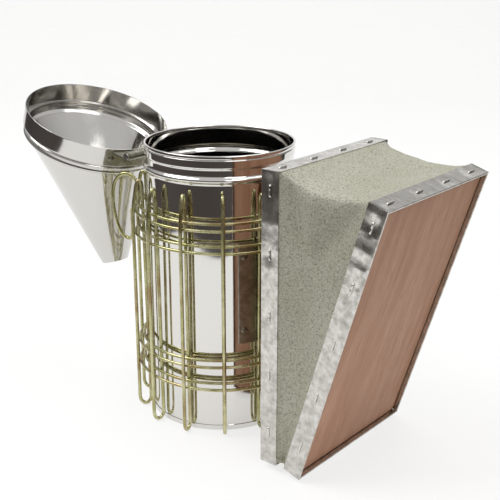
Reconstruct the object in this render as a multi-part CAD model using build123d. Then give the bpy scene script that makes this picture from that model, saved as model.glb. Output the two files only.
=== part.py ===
"""Bee smoker: a canister with a hinged funnel lid, a wire guard and a wedge bellows.

Millimetres. +Z is up, +X runs from the canister to the bellows. The origin is the
centre of the canister's underside. The lid stands open and the bellows is full.
"""
import os
from math import asin, cos, degrees, radians, sin, sqrt

from build123d import *

# ---- canister -------------------------------------------------------------
canister_height = 186.3
rim_radius = 49.8
body_radius = 48.7
sheet = 0.6                    # wall of the canister
rim_roll = 2.8                 # height of the rolled rim
neck_band_height = 5.0         # raised band under the rim
neck_band_radius = 49.4
bead_height = 4.0
bead_radius = 50.4
bead_drop = 15.8               # from the rim's top down to the middle of the bead
seam_gap = 0.1                 # between sheets that are folded or riveted together
bottom_sheet = 0.7
crimp_radius = 49.15
crimp_height = 3.2

# ---- air inlet and fire grate --------------------------------------------
inlet_bore = 12.0
inlet_wall = 0.8
inlet_height = 17.0            # centre of the air path above the floor
inlet_reach = 8.0              # outside the canister
inlet_depth = 6.0              # inside the canister
grate_radius = 46.6
grate_sheet = 1.2
grate_height = 26.0            # top of the legs above the floor
grate_hole = 6.5
grate_hole_sides = 8
grate_hole_rings = {17.0: 6, 34.0: 12}
grate_leg_width = 8.0
grate_leg_count = 3

# ---- lid ------------------------------------------------------------------
lid_sheet = 0.6
lid_seat_gap = 0.35            # rim to the ledge inside the lid
lip_clearance = 1.35           # rim to the lid's band, whose lip swings past the rim
band_height = 13.6             # lip to the ledge
lid_bead_height = 8.4          # both ridges together
lid_bead_radius = 51.3
lid_neck_radius = 49.2         # waist between the ridges
cone_base_radius = 47.5
cone_rise = 99.0               # lip to the centre of the spout
cone_offset = 47.0             # spout's centre towards the hinge
spout_radius = 9.2
spout_lean = 33.0
cone_sides = 60
vent_hole = 4.0
vent_rise = 33.0
vent_bearing = 62.0
lid_open_angle = 160.7

# ---- lid hinge ------------------------------------------------------------
hinge_reach = 60.8             # canister axis to the hinge pin
hinge_height = 170.4
pin_diameter = 3.0
pin_clearance = 0.06
knuckle_wall = 1.3
centre_knuckle = 20.0
side_knuckle = 16.0
knuckle_gap = 0.3
hinge_sheet = 0.9
lid_strap_half_angle = 34.0
lid_strap_height = 11.0
lid_strap_rise = 1.6           # lip to the strap's edge
strap_rivet_angles = (11.5, 29.0)
canister_leaf_half_angle = 16.0
canister_leaf_low = 149.0
canister_leaf_high = 166.0
rivet_head = 4.6
rivet_head_height = 1.1
rivet_shank = 2.6
rivet_clearance = 0.05
small_sides = 12               # sides of rivets, bolts and tacks
head_taper = 40.0

# ---- wire guard -----------------------------------------------------------
rib_wire = 2.4
ring_wire = 2.0
rib_count = 13
guard_gap_angle = 40.0         # opening that faces the bellows
inner_leg_foot = 50.8
inner_leg_head = 52.0
outer_leg_radius = 58.6
rib_top = 163.0
rib_shoulder = 142.0           # where the outer leg turns in
rib_top_flat = 3.4
rib_bend = 2.6
chords_per_rib_pitch = 3       # an odd count sets a chord's middle on each rib
outer_ring_heights = (33.0, 49.0, 126.0, 141.0)
inner_ring_heights = (36.5, 52.5, 130.0, 145.0)
weld_gap = 0.05                # wires that are spot-welded, before they sink in
hook_top = 162.2
hook_low = 112.6
hook_reach = 18.0              # beyond the outer legs
hook_return_angle = 19.0       # from the hook's rib round to its lower end

# ---- bellows --------------------------------------------------------------
board_width = 111.5            # over the edge strips
inner_board_x = 80.9           # outer edge of its strips
inner_board_height = 184.8
outer_board_height = 185.6
board_floor_gap = 5.0
wood = 9.0
strip_width = 12.4
strip_sheet = 0.6
strip_hem = 2.4
skin_thickness = 0.8
foot_gap = 6.0                 # between the boards at the foot
bellows_open_angle = 16.67
skin_sag = 6.0
fan_shares = (0.0, 0.3, 0.65, 1.0)
foot_strip_thickness = 1.0
foot_strip_clearance = 0.3
staple_crown = 6.0
staple_wire = 1.2
staple_rise = 1.1
side_staple_count = 5
side_staple_first = 21.0
side_staple_pitch = 38.0
top_staple_count = 4
top_staple_pitch = 29.5

# ---- bellows bracket, spring and valve -----------------------------------
bracket_sheet = 1.0
bracket_width = 24.0
bracket_low = 62.0
bracket_high = 130.0
bracket_tab_angle = 35.0
bracket_rivet_angle = 31.0
bracket_rivet_heights = (71.3, 121.1)
bolt_diameter = 4.0
bolt_heights = (80.0, 116.0)
bolt_head = 8.0
bolt_head_height = 2.4
bolt_clearance = 0.05
nut_flats = 7.0
nut_height = 3.2
bolt_end = 1.5                 # past the nut
spring_strip = 1.2
spring_width = 16.0
spring_length = 40.0
spring_foot = 22.0             # its bend above the boards' hinge line
spring_bend = 4.0
valve_height = 150.0
valve_bore = 18.0
flap_size = 27.0
flap_thickness = 1.6
flap_hinge_drop = 1.6          # flap's hinge line below its top edge
tack_head = 5.0
tack_shank = 1.6
tack_head_height = 1.0
tack_length = 7.0
tack_spacing = 16.0
flap_hem = 5.0                 # tacked strip above the moving flap
flap_gap = 0.4

# ---- places worked out from the sizes ------------------------------------
hinge_axis = Axis((-hinge_reach, 0, hinge_height), (0, 1, 0))
lip_height = canister_height + lid_seat_gap - band_height
inner_board_face = inner_board_x + strip_width
bellows_hinge_x = inner_board_face + foot_gap / 2
bellows_hinge_z = board_floor_gap + 1.6
bellows_axis = Axis((bellows_hinge_x, 0, bellows_hinge_z), (0, 1, 0))
outer_board_face = bellows_hinge_x + foot_gap / 2
edge_cover = strip_sheet + skin_thickness
wood_width = board_width - 2 * edge_cover
skin_half_width = board_width / 2 - strip_sheet
wire_corner = 1 / cos(radians(30))   # a six-sided wire's corner, against its flat
strap_radius = rim_radius + lip_clearance + lid_sheet + seam_gap
rib_pitch = (360.0 - guard_gap_angle) / (rib_count - 1)
outer_ring_radius = outer_leg_radius - (rib_wire + ring_wire) / 2


def save(node, shape):
    export_step(shape, f"parts/{node}.step")


def turned(profile):
    """Turn an (r, z) outline about the canister's axis."""
    outline = Polyline(*[(r, 0, z) for r, z in profile], close=True)
    return revolve(make_face(outline), Axis.Z)


def bent_plate(radius, thickness, low, high, middle_angle, half_angle):
    """A plate that wraps part of the way round the canister's axis."""
    outline = Polyline(
        (radius, 0, low),
        (radius + thickness, 0, low),
        (radius + thickness, 0, high),
        (radius, 0, high),
        close=True,
    )
    piece = revolve(make_face(outline), Axis.Z, 2 * half_angle)
    return piece.rotate(Axis.Z, middle_angle - half_angle)


def bent_wire(points, diameter, flat_side):
    """Sweep a six-sided wire along straight runs, with a corner towards flat_side."""
    start = Vector(*points[0])
    run = Vector(*points[1]) - start
    section_plane = Plane(start, x_dir=flat_side, z_dir=run)
    section = section_plane * RegularPolygon(diameter / 2, 6, major_radius=False)
    return sweep(section, Polyline(*points), transition=Transition.RIGHT)


def at_angle(radius, angle, height=0.0):
    return (radius * cos(radians(angle)), radius * sin(radians(angle)), height)


def facing_out(radius, angle, height):
    """A placement on the canister's side whose Z points away from its axis."""
    origin = at_angle(radius, angle, height)
    return Plane(origin, x_dir=(0, 0, 1), z_dir=at_angle(1, angle))


def small_rod(diameter, low, high):
    """A short round bar along Z, with few sides because there are many of them."""
    return Pos(0, 0, low) * extrude(RegularPolygon(diameter / 2, small_sides), high - low)


def headed_rod(diameter, length, head_diameter, head_height):
    """A shank below its seat at z = 0 and a low domed head above it."""
    head = extrude(RegularPolygon(head_diameter / 2, small_sides), head_height, taper=head_taper)
    return small_rod(diameter, -length, 0) + head


def rivet(grip, place):
    """A rivet that clinches a plate of thickness grip onto the sheet behind it."""
    return place * headed_rod(rivet_shank, grip, rivet_head, rivet_head_height)


def rivet_hole(place):
    return place * small_rod(rivet_shank + 2 * rivet_clearance, -8, 8)


# ---- canister -------------------------------------------------------------
def canister_outline():
    """Outside of the canister from its foot to the top of the rolled rim."""
    bead_middle = canister_height - bead_drop
    roll_low = canister_height - rim_roll
    band_low = roll_low - neck_band_height
    return [
        (body_radius, bottom_sheet + seam_gap),
        (body_radius, bead_middle - bead_height / 2),
        (bead_radius, bead_middle),
        (body_radius, bead_middle + bead_height / 2),
        (body_radius, band_low),
        (neck_band_radius, band_low + 1.0),
        (neck_band_radius, roll_low),
        (rim_radius, roll_low + 0.6),
        (rim_radius, canister_height),
    ]


def canister_shell():
    outside = canister_outline()
    inside = [(body_radius - sheet, canister_height)]
    for radius, height in reversed(outside[:4]):
        inside.append((radius - sheet, height))
    shell = turned(outside + inside)
    inlet = Cylinder(inlet_bore / 2 + inlet_wall + seam_gap, 2 * body_radius, rotation=(0, 90, 0))
    return shell - Pos(body_radius, 0, inlet_height) * inlet


def canister_bottom():
    """A flat pressed cap whose rim is crimped round the foot of the shell."""
    wall = body_radius + seam_gap / 2
    cap = [
        (0, 0),
        (crimp_radius, 0),
        (crimp_radius, crimp_height),
        (wall, crimp_height),
        (wall, bottom_sheet),
        (0, bottom_sheet),
    ]
    return turned(cap)


def air_inlet_tube():
    wall_x = body_radius
    length = inlet_depth + inlet_reach
    middle = wall_x + (inlet_reach - inlet_depth) / 2
    tube = Cylinder(inlet_bore / 2 + inlet_wall, length) - Cylinder(inlet_bore / 2, length)
    return Pos(middle, 0, inlet_height) * Rot(0, 90, 0) * tube


def fire_grate():
    plate = Pos(0, 0, grate_height) * extrude(Circle(grate_radius), grate_sheet)
    punch = extrude(RegularPolygon(grate_hole / 2, grate_hole_sides), 2 * grate_sheet, both=True)
    for ring_radius, count in grate_hole_rings.items():
        for k in range(count):
            plate -= Pos(*at_angle(ring_radius, 360 * k / count, grate_height)) * punch
    plate -= Pos(0, 0, grate_height) * punch
    leg_height = grate_height - bottom_sheet
    for k in range(grate_leg_count):
        angle = 360 * (k + 0.5) / grate_leg_count
        leg = Box(grate_sheet, grate_leg_width, leg_height)
        leg_radius = grate_radius - 5
        plate += Pos(*at_angle(leg_radius, angle, bottom_sheet + leg_height / 2)) * Rot(0, 0, angle) * leg
    return plate


# ---- lid, drawn closed and then swung open --------------------------------
def swung_open(shape):
    return shape.rotate(hinge_axis, -lid_open_angle)


def lid_band():
    """The ring that slips over the rim, with two ridges above its ledge."""
    wall = rim_radius + lip_clearance
    ledge = lip_height + band_height
    top = ledge + lid_bead_height
    ridge = lid_bead_height / 2
    outside = [
        (wall + lid_sheet, lip_height),
        (wall + lid_sheet, ledge),
        (lid_neck_radius + lid_sheet, ledge + 0.8),
        (lid_bead_radius, ledge + ridge / 2),
        (lid_neck_radius + lid_sheet, ledge + ridge),
        (lid_bead_radius - 0.4, ledge + ridge * 1.5),
        (cone_base_radius, top),
    ]
    inside = [
        (cone_base_radius - lid_sheet, top),
        (lid_neck_radius - 0.8, ledge),
        (wall, ledge),
        (wall, lip_height),
    ]
    return turned(outside + inside)


def cone_apex():
    """Where the cone's hinge side and far side would meet, in the plane Y = 0."""
    lean = radians(spout_lean)
    base_rise = band_height + lid_bead_height
    reach = spout_radius * cos(lean)
    climb = spout_radius * sin(lean)
    hinge_slope = (-cone_offset - reach + cone_base_radius) / (cone_rise - climb - base_rise)
    far_slope = (-cone_offset + reach - cone_base_radius) / (cone_rise + climb - base_rise)
    height = 2 * cone_base_radius / (hinge_slope - far_slope)
    return Vector(cone_base_radius + far_slope * height, 0, lip_height + base_rise + height)


def cone_skin(base_radius, overrun):
    """A faceted cone from the band to the leaning spout, past both ends by overrun."""
    lean = radians(spout_lean)
    normal = Vector(-sin(lean), 0, cos(lean))
    spout = Vector(-cone_offset, 0, lip_height + cone_rise) + normal * overrun
    base_height = lip_height + band_height + lid_bead_height
    apex = cone_apex()
    base = []
    top = []
    for k in range(cone_sides):
        angle = radians(360 * k / cone_sides)
        outward = Vector(cos(angle), sin(angle), 0)
        foot = outward * base_radius + Vector(0, 0, base_height)
        run = apex - outward * cone_base_radius - Vector(0, 0, base_height)
        base.append(foot - run * (overrun / run.Z))
        top.append(foot + run * ((spout - foot).dot(normal) / run.dot(normal)))
    faces = [Face(Wire.make_polygon(base)), Face(Wire.make_polygon(top))]
    for k in range(cone_sides):
        faces.append(Face(Wire.make_polygon([base[k - 1], base[k], top[k], top[k - 1]])))
    return Solid(Shell(faces))


def lid_cone():
    cone = cone_skin(cone_base_radius, 0) - cone_skin(cone_base_radius - lid_sheet, 1)
    drill = extrude(RegularPolygon(vent_hole / 2, small_sides), 2 * cone_base_radius)
    return cone - Pos(0, 0, lip_height + vent_rise) * Rot(0, 90, 0) * Rot(vent_bearing, 0, 0) * drill


# ---- lid hinge ------------------------------------------------------------
def strap_rivet_places():
    height = lip_height + lid_strap_rise + lid_strap_height / 2
    places = []
    for angle in strap_rivet_angles:
        for side in (-1, 1):
            places.append(facing_out(strap_radius + hinge_sheet, 180 + side * angle, height))
    return places


def hinge_rivet_places():
    radius = body_radius + seam_gap + hinge_sheet
    height = canister_leaf_low + 5.5
    return [facing_out(radius, 180 + side * rib_pitch * 0.38, height) for side in (-1, 1)]


def knuckle(low_y, high_y):
    barrel = pin_diameter / 2 + pin_clearance + knuckle_wall
    tube = Cylinder(barrel, high_y - low_y, rotation=(90, 0, 0))
    return Pos(-hinge_reach, (low_y + high_y) / 2, hinge_height) * tube


def pin_bore():
    bore = Cylinder(pin_diameter / 2 + pin_clearance, 4 * board_width, rotation=(90, 0, 0))
    return Pos(-hinge_reach, 0, hinge_height) * bore


def tongue(from_point, to_point, low_y, high_y):
    """A flat plate between two (x, z) points, hinge_sheet thick above that line."""
    run_x = to_point[0] - from_point[0]
    run_z = to_point[1] - from_point[1]
    length = sqrt(run_x**2 + run_z**2)
    up = Vector(-run_z / length, 0, run_x / length)
    if up.Z < 0:
        up = -up
    start = Vector(from_point[0], low_y, from_point[1])
    end = Vector(to_point[0], low_y, to_point[1])
    lift = up * hinge_sheet
    outline = Polyline(start, end, end + lift, start + lift, close=True)
    return extrude(make_face(outline), high_y - low_y, dir=(0, 1, 0))


def side_knuckle_spans():
    start = centre_knuckle / 2 + knuckle_gap
    return [(start, start + side_knuckle), (-start - side_knuckle, -start)]


def hinge_leaf_lid():
    low = lip_height + lid_strap_rise
    strap = bent_plate(strap_radius, hinge_sheet, low, low + lid_strap_height, 180, lid_strap_half_angle)
    for place in strap_rivet_places():
        strap -= rivet_hole(place)
    barrel_top = hinge_height + pin_diameter / 2 + pin_clearance + knuckle_wall - hinge_sheet
    inside_strap = Cylinder(strap_radius + hinge_sheet / 2, 4 * lid_strap_height)
    for low_y, high_y in side_knuckle_spans():
        root = (-strap_radius * cos(radians(lid_strap_half_angle)), low + 0.2)
        plate = tongue(root, (-hinge_reach, barrel_top), low_y, high_y)
        strap += plate - Pos(0, 0, lip_height) * inside_strap
        strap += knuckle(low_y, high_y)
    return swung_open(strap - pin_bore())


def hinge_leaf_canister():
    inner = body_radius + seam_gap
    leaf = bent_plate(
        inner, hinge_sheet, canister_leaf_low, canister_leaf_high, 180, canister_leaf_half_angle
    )
    for place in hinge_rivet_places():
        leaf -= rivet_hole(place)
    barrel_low = hinge_height - pin_diameter / 2 - pin_clearance - knuckle_wall
    half = centre_knuckle / 2
    root = (-inner * cos(radians(canister_leaf_half_angle)), canister_leaf_high - hinge_sheet - 0.6)
    plate = tongue(root, (-hinge_reach, barrel_low), -half, half)
    leaf += plate - Pos(0, 0, canister_leaf_high) * Cylinder(inner + hinge_sheet / 2, 4 * hinge_sheet)
    leaf += knuckle(-half, half)
    return leaf - pin_bore()


def hinge_pin():
    length = centre_knuckle + 2 * (side_knuckle + knuckle_gap)
    head_length = 1.0
    pin = Cylinder(pin_diameter / 2, length + 2 * knuckle_gap, rotation=(90, 0, 0))
    head = Cylinder(pin_diameter / 2 + 0.8, head_length, rotation=(90, 0, 0))
    offset = length / 2 + knuckle_gap + head_length / 2
    pin += Pos(0, offset, 0) * head + Pos(0, -offset, 0) * head
    return Pos(-hinge_reach, 0, hinge_height) * pin


# ---- wire guard -----------------------------------------------------------
def guard_rib(angle):
    """A hairpin: up the inner leg, over the top, down the outer leg and under."""
    wire = rib_wire / 2
    lean = (inner_leg_head - inner_leg_foot) / rib_top
    head = inner_leg_foot + lean * (rib_top - rib_bend)
    joint_height = inner_ring_heights[0]
    joint_radius = inner_leg_foot + lean * joint_height
    route = [
        (joint_radius, joint_height + 0.2),
        (head, rib_top - rib_bend),
        (head + 0.8, rib_top - wire),
        (head + rib_top_flat - 0.6, rib_top - wire),
        (head + rib_top_flat + 0.2, rib_top - rib_bend),
        (outer_leg_radius, rib_shoulder),
        (outer_leg_radius, wire + rib_bend),
        (outer_leg_radius - rib_bend, wire),
        (inner_leg_foot + rib_bend * 0.6, wire),
        (inner_leg_foot, wire + rib_bend),
        (joint_radius, joint_height - 0.2),
    ]
    points = [at_angle(r, angle, z) for r, z in route]
    return bent_wire(points, rib_wire, at_angle(1, angle + 90))


def rib_angles():
    first = guard_gap_angle / 2
    return [first + k * rib_pitch for k in range(rib_count)]


def guard_ring(radius, height):
    """An open ring on straight chords; radius is to the middle of each chord."""
    chord = rib_pitch / chords_per_rib_pitch
    corner_radius = radius / cos(radians(chord / 2))
    start = guard_gap_angle / 2 - chord / 2
    count = chords_per_rib_pitch * (rib_count - 1) + 1
    points = [at_angle(corner_radius, start + k * chord, height) for k in range(count + 1)]
    return bent_wire(points, ring_wire, (0, 0, 1))


def inner_ring_radius(height):
    lean = (inner_leg_head - inner_leg_foot) / rib_top
    return inner_leg_foot + lean * height + (rib_wire + ring_wire) / 2 + weld_gap


def guard_hook():
    """The loop that hangs on a hive, beside one rib, with its lower end on the next pitch."""
    angle = 180 + rib_pitch
    wire = rib_wire / 2
    beside = wire + wire_corner * wire + weld_gap
    ring_top = outer_ring_heights[3] + wire_corner * ring_wire / 2 + weld_gap
    far = outer_leg_radius + hook_reach - wire
    end_radius = outer_ring_radius + ring_wire / 2 + wire_corner * wire + 2 * weld_gap
    end_along = end_radius * sin(radians(hook_return_angle))
    end_out = end_radius * cos(radians(hook_return_angle))
    route = [
        (outer_ring_radius, beside, ring_top),
        (outer_ring_radius + 0.4, beside, hook_top - 8.0),
        (outer_ring_radius + 3.6, beside, hook_top - 3.4),
        (outer_ring_radius + 10.0, beside, hook_top - wire),
        (far - 3.0, beside, hook_top - 5.5),
        (far, beside, hook_top - 15.0),
        (far - 1.0, beside, hook_low + 18.0),
        (far - 5.0, beside, hook_low + 5.5),
        (far - 10.5, beside, hook_low + wire),
        (far - 15.0, beside + 3.5, hook_low + 4.5),
        (end_out, end_along, outer_ring_heights[3] - 0.5),
    ]
    radial = Vector(*at_angle(1, angle))
    along = Vector(*at_angle(1, angle + 90))
    points = [radial * out + along * side + Vector(0, 0, z) for out, side, z in route]
    return bent_wire(points, rib_wire, radial)


# ---- bellows boards -------------------------------------------------------
def board_wood(back_x, side, height):
    """A plywood board inside its strips; side is +1 where the strips stand proud at +X."""
    middle_x = back_x + side * wood / 2
    tall = height - 2 * edge_cover
    board = Box(wood, wood_width, tall)
    return Pos(middle_x, 0, edge_cover + tall / 2) * board


def side_strip(back_x, side, height, edge):
    """A tin strip on one upright edge, hemmed where it stands proud of the wood."""
    outer_y = board_width / 2
    outline = Polyline(
        (back_x, edge * outer_y),
        (back_x + side * strip_width, edge * outer_y),
        (back_x + side * strip_width, edge * (outer_y - 2 * strip_sheet)),
        (back_x + side * (strip_width - strip_hem), edge * (outer_y - 2 * strip_sheet)),
        (back_x + side * (strip_width - strip_hem), edge * (outer_y - strip_sheet)),
        (back_x, edge * (outer_y - strip_sheet)),
        close=True,
    )
    return extrude(make_face(outline), height, dir=(0, 0, 1))


def end_strip(back_x, side, edge_z, inward):
    """A tin strip across the top or the foot, between the hems of the side strips."""
    length = board_width - 4 * strip_sheet
    outline = Polyline(
        (back_x, -length / 2, edge_z),
        (back_x + side * strip_width, -length / 2, edge_z),
        (back_x + side * strip_width, -length / 2, edge_z + inward * 2 * strip_sheet),
        (back_x + side * (strip_width - strip_hem), -length / 2, edge_z + inward * 2 * strip_sheet),
        (back_x + side * (strip_width - strip_hem), -length / 2, edge_z + inward * strip_sheet),
        (back_x, -length / 2, edge_z + inward * strip_sheet),
        close=True,
    )
    return extrude(make_face(outline), length, dir=(0, 1, 0))


def staple():
    """A staple's crown where it bites the tin, along X with its back up at +Z."""
    outline = Polyline(
        (-staple_crown / 2, 0, 0),
        (-staple_crown / 2 + staple_rise, 0, staple_rise),
        (staple_crown / 2 - staple_rise, 0, staple_rise),
        (staple_crown / 2, 0, 0),
        close=True,
    )
    return extrude(make_face(outline), staple_wire / 2, dir=(0, 1, 0), both=True)


def board_staples(back_x, side, height):
    middle_x = back_x + side * strip_width / 2
    staples = []
    for edge in (-1, 1):
        for k in range(side_staple_count):
            along = side_staple_first + k * side_staple_pitch
            face = Plane((middle_x, edge * board_width / 2, along), x_dir=(0, 0, 1), z_dir=(0, edge, 0))
            staples.append(face * staple())
    for k in range(top_staple_count):
        across = (k - (top_staple_count - 1) / 2) * top_staple_pitch
        face = Plane((middle_x, across, height), x_dir=(0, 1, 0), z_dir=(0, 0, 1))
        staples.append(face * staple())
    return Compound(staples)


def on_inner_board(shape):
    return Pos(0, 0, board_floor_gap) * shape


def on_outer_board(shape):
    return (Pos(0, 0, bellows_hinge_z) * shape).rotate(bellows_axis, bellows_open_angle)


def through_wood(diameter, height):
    drill = Cylinder(diameter / 2, 4 * wood, rotation=(0, 90, 0))
    return Pos(inner_board_face, 0, height) * drill


def tack_place(side):
    seat = inner_board_face + flap_thickness
    origin = (seat, side * tack_spacing / 2, flap_tack_height())
    return Plane(origin, x_dir=(0, 1, 0), z_dir=(1, 0, 0))


def bolt_place(height):
    """A bolt's seat on the bracket's web, with its head towards the canister."""
    web_x = inner_board_face - wood - bracket_sheet
    return Plane((web_x, 0, height), x_dir=(0, 1, 0), z_dir=(-1, 0, 0))


def bolt_hole(height):
    return bolt_place(height) * small_rod(bolt_diameter + 2 * bolt_clearance, -4 * wood, wood)


def tack_hole(side):
    return tack_place(side) * small_rod(tack_shank + 2 * bolt_clearance, -tack_length - 1, 1)


def inner_board():
    board = on_inner_board(board_wood(inner_board_face, -1, inner_board_height))
    board -= through_wood(inlet_bore, inlet_height)
    board -= through_wood(valve_bore, valve_height)
    for height in bolt_heights:
        board -= bolt_hole(height)
    for side in (-1, 1):
        board -= tack_hole(side)
    return board


def outer_board():
    return on_outer_board(board_wood(outer_board_face, 1, outer_board_height))


# ---- bellows skin ---------------------------------------------------------
def fan_plane(share):
    """A plane between the boards: 0 lies on the inner board, 1 on the outer board."""
    angle = radians(bellows_open_angle * share)
    offset = foot_gap * (share - 0.5)
    normal = Vector(cos(angle), 0, -sin(angle))
    origin = Vector(bellows_hinge_x, 0, bellows_hinge_z) + normal * offset
    return Plane(origin, x_dir=(0, 1, 0), z_dir=normal)


def skin_section(share, inset):
    """The skin's outline on one plane of the fan, with its top sagging."""
    slack = 4 * share * (1 - share)
    inner_top = inner_board_height + board_floor_gap - bellows_hinge_z
    top = inner_top + (outer_board_height - inner_top) * share - strip_sheet
    top -= skin_sag * slack + inset
    half = skin_half_width - inset
    low = edge_cover if inset == 0 else -2 * edge_cover
    outline = Polyline((-half, low), (half, low), (half, top), (-half, top), close=True)
    return fan_plane(share) * make_face(outline)


def skin_wrap(back_x, side, height):
    """The skin's edge, turned over the board and held under the strips."""
    outer_width = board_width - 2 * strip_sheet
    tall = height - 2 * strip_sheet
    wrap = Pos(back_x + side * wood / 2, 0, strip_sheet + tall / 2) * Box(wood, outer_width, tall)
    return wrap - board_wood(back_x, side, height)


def bellows_skin():
    skin = loft([skin_section(share, 0) for share in fan_shares], ruled=True)
    skin -= loft([skin_section(share, skin_thickness) for share in fan_shares], ruled=True)
    skin += on_inner_board(skin_wrap(inner_board_face, -1, inner_board_height))
    skin += on_outer_board(skin_wrap(outer_board_face, 1, outer_board_height))
    return skin


def bellows_hinge_strip():
    """A fabric strip that closes the foot and lets the boards fold."""
    low = edge_cover + foot_strip_clearance
    half = skin_half_width - skin_thickness - foot_strip_clearance
    sections = []
    for share in fan_shares:
        outline = Polyline(
            (-half, low),
            (half, low),
            (half, low + foot_strip_thickness),
            (-half, low + foot_strip_thickness),
            close=True,
        )
        sections.append(fan_plane(share) * make_face(outline))
    return loft(sections, ruled=True)


# ---- spring, valve and bracket -------------------------------------------
def bellows_spring():
    """A bent strip of spring steel whose two leaves press the boards apart."""
    angle = radians(bellows_open_angle)
    inner_x = inner_board_face
    low = bellows_hinge_z + spring_foot
    start = Vector(inner_x, 0, low + spring_length)
    inner_foot = Vector(inner_x, 0, low)
    along = Vector(sin(angle), 0, cos(angle))
    across = Vector(cos(angle), 0, -sin(angle))
    outer_origin = Vector(bellows_hinge_x, 0, bellows_hinge_z) + across * (foot_gap / 2)
    outer_foot = outer_origin + along * spring_foot
    end = outer_foot + along * spring_length
    inner_line = Vector(spring_strip, 0, 0)
    middle = (inner_foot + outer_foot) * 0.5 - Vector(0, 0, spring_bend)
    outline = Polyline(
        start,
        inner_foot,
        middle,
        outer_foot,
        end,
        end - across * spring_strip,
        outer_foot - across * spring_strip + along * 0.4,
        middle + Vector(0, 0, spring_strip * 1.1),
        inner_foot + inner_line + Vector(0, 0, 0.4),
        start + inner_line,
        close=True,
    )
    leaf = extrude(make_face(outline), spring_width, dir=(0, 1, 0))
    return Pos(0, -spring_width / 2, 0) * leaf


def flap_tack_height():
    return flap_hinge_height() + flap_gap + flap_hem / 2


def flap_hinge_height():
    return valve_height + flap_size / 2


def valve_flap():
    flap = Box(flap_thickness, flap_size, flap_size - flap_hinge_drop)
    middle = flap_hinge_height() - flap_hinge_drop / 2 - flap_size / 2
    return Pos(inner_board_face + flap_gap + flap_thickness / 2, 0, middle) * flap


def valve_hem():
    """The tacked edge of the leather, from which the flap hangs."""
    hem = Box(flap_thickness, flap_size, flap_hem)
    piece = Pos(inner_board_face + flap_thickness / 2, 0, flap_tack_height()) * hem
    for side in (-1, 1):
        piece -= tack_hole(side)
    return piece


def valve_tacks():
    tack = headed_rod(tack_shank, tack_length, tack_head, tack_head_height)
    return Compound([tack_place(side) * tack for side in (-1, 1)])


def bracket_rivet_places():
    radius = body_radius + seam_gap + bracket_sheet
    places = []
    for height in bracket_rivet_heights:
        for side in (-1, 1):
            places.append(facing_out(radius, side * bracket_rivet_angle, height))
    return places


def bellows_bracket():
    """A sheet channel with two curved tabs riveted to the canister."""
    tall = bracket_high - bracket_low
    middle_z = (bracket_high + bracket_low) / 2
    inner = body_radius + seam_gap
    outer = inner + bracket_sheet
    half = bracket_width / 2
    wall_angle = degrees(asin((half - bracket_sheet) / outer))
    web_x = inner_board_face - wood - bracket_sheet
    bracket = Pos(web_x + bracket_sheet / 2, 0, middle_z) * Box(bracket_sheet, bracket_width, tall)
    for height in bolt_heights:
        bracket -= bolt_hole(height)
    for side in (-1, 1):
        start_x = sqrt(inner**2 - half**2) + 0.5
        wall = Box(web_x - start_x, bracket_sheet, tall)
        bracket += Pos((web_x + start_x) / 2, side * (half - bracket_sheet / 2), middle_z) * wall
        half_span = (bracket_tab_angle - wall_angle) / 2
        middle_angle = side * (wall_angle + half_span)
        bracket += bent_plate(inner, bracket_sheet, bracket_low, bracket_high, middle_angle, half_span)
    for place in bracket_rivet_places():
        bracket -= rivet_hole(place)
    return bracket


def bracket_bolts():
    length = bracket_sheet + wood + nut_height + bolt_end
    bolt = headed_rod(bolt_diameter, length, bolt_head, bolt_head_height)
    return Compound([bolt_place(height) * bolt for height in bolt_heights])


def bracket_nuts():
    nuts = []
    for height in bolt_heights:
        face = Plane((inner_board_face, 0, height), x_dir=(0, 1, 0), z_dir=(1, 0, 0))
        nut = face * extrude(RegularPolygon(nut_flats / 2, 6, major_radius=False), nut_height)
        nuts.append(nut - bolt_hole(height))
    return Compound(nuts)


def build():
    os.makedirs("parts", exist_ok=True)
    save("canister_shell", canister_shell())
    save("canister_bottom", canister_bottom())
    save("air_inlet_tube", air_inlet_tube())
    save("fire_grate", fire_grate())

    save("lid_band", swung_open(lid_band()))
    save("lid_cone", swung_open(lid_cone()))
    save("hinge_leaf_lid", hinge_leaf_lid())
    save("hinge_leaf_canister", hinge_leaf_canister())
    save("hinge_pin", hinge_pin())
    strap_rivets = Compound([rivet(hinge_sheet, place) for place in strap_rivet_places()])
    save("hinge_rivets_lid", swung_open(strap_rivets))
    save("hinge_rivets_canister", Compound([rivet(hinge_sheet, place) for place in hinge_rivet_places()]))
    save("bracket_rivets", Compound([rivet(bracket_sheet, place) for place in bracket_rivet_places()]))

    save("guard_ribs", Compound([guard_rib(angle) for angle in rib_angles()]))
    outer_rings = [guard_ring(outer_ring_radius, height) for height in outer_ring_heights]
    inner_rings = [guard_ring(inner_ring_radius(height), height) for height in inner_ring_heights]
    save("guard_outer_rings", Compound(outer_rings))
    save("guard_inner_rings", Compound(inner_rings))
    save("guard_hook", guard_hook())

    save("inner_board", inner_board())
    save("outer_board", outer_board())
    boards = {
        "inner": (inner_board_face, -1, inner_board_height, on_inner_board),
        "outer": (outer_board_face, 1, outer_board_height, on_outer_board),
    }
    for name, (face_x, side, height, placed) in boards.items():
        save(f"{name}_strip_near", placed(side_strip(face_x, side, height, -1)))
        save(f"{name}_strip_far", placed(side_strip(face_x, side, height, 1)))
        save(f"{name}_strip_top", placed(end_strip(face_x, side, height, -1)))
        save(f"{name}_strip_foot", placed(end_strip(face_x, side, 0, 1)))
        save(f"{name}_board_staples", placed(board_staples(face_x, side, height)))

    save("bellows_skin", bellows_skin())
    save("bellows_hinge_strip", bellows_hinge_strip())
    save("bellows_spring", bellows_spring())
    save("valve_flap", valve_flap())
    save("valve_hem", valve_hem())
    save("valve_tacks", valve_tacks())
    save("bellows_bracket", bellows_bracket())
    save("bracket_bolts", bracket_bolts())
    save("bracket_nuts", bracket_nuts())


build()
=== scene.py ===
import math
import random

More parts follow.
